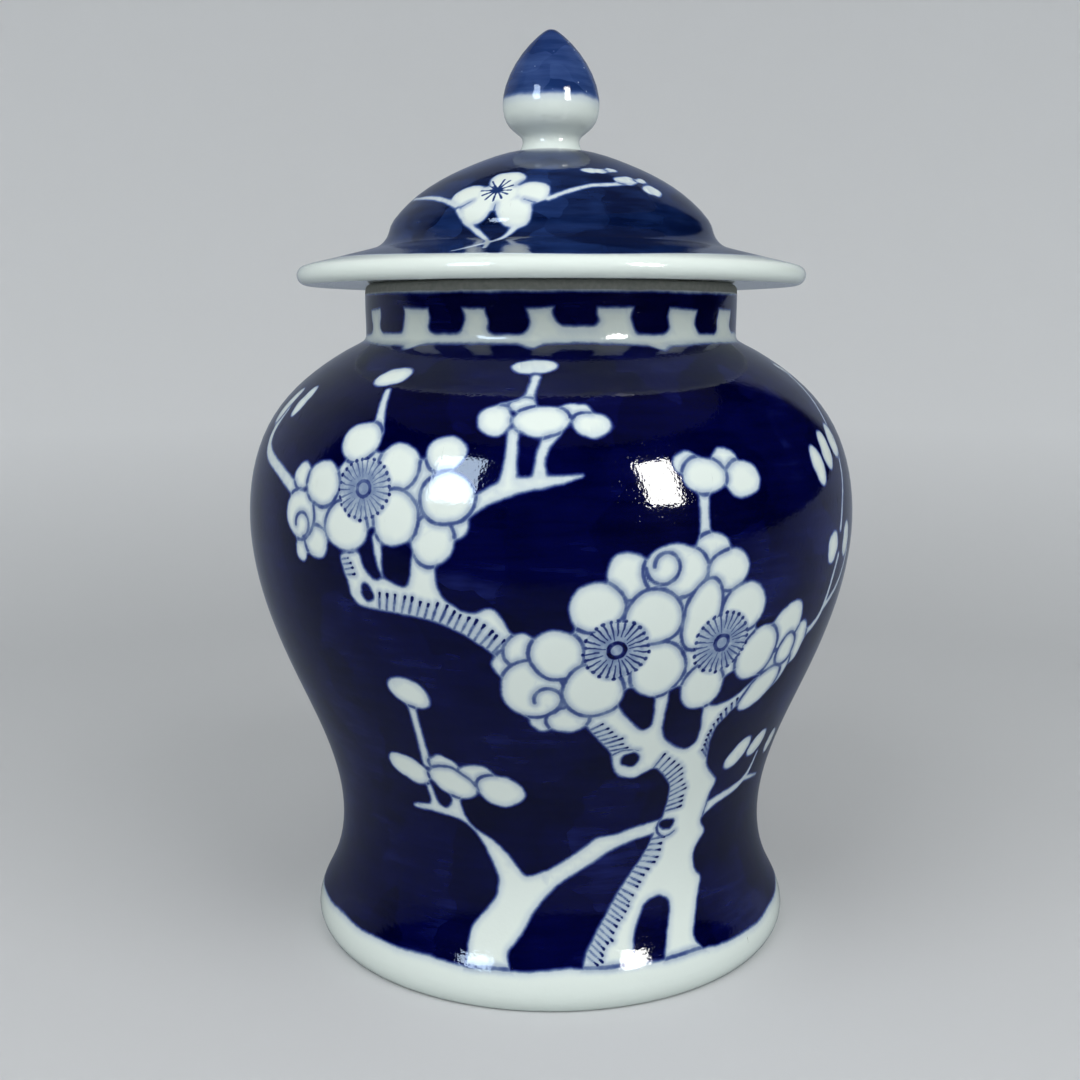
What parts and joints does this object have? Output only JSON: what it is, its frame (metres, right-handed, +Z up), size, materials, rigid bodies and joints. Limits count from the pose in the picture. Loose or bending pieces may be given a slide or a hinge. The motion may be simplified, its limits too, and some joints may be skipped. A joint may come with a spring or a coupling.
{
  "type": "lidded ginger jar",
  "caption": "Lidded baluster jar in blue and white porcelain, with a domed lid that lifts off, a bud knob and a spreading foot.",
  "frame": {"origin": "centre of the foot ring, on the plane it rests on", "axes": "+Z up the turning axis through the knob; the painted front faces -Y"},
  "size_m": [0.1756, 0.1756, 0.26],
  "materials": {
    "painted_porcelain": "cobalt painting with reserved white branches under a clear gloss glaze; white band at the foot and neck",
    "painted_porcelain_lid": "cobalt wash under a clear gloss glaze, with a white rolled edge",
    "white_porcelain": "clear gloss glaze over white porcelain, bare at the lower edge"
  },
  "bodies": {
    "jar": {"jar_body": "painted_porcelain"},
    "lid_assembly": {"lid": "painted_porcelain_lid", "lid_locating_ring": "white_porcelain", "lid_knob": "painted_porcelain_lid"}
  },
  "joints": [
    {"name": "lid_lift", "type": "slide", "parent": "jar", "child": "lid_assembly", "axis": [0, 0, 1], "range_m": [0, 0.08]}
  ]
}
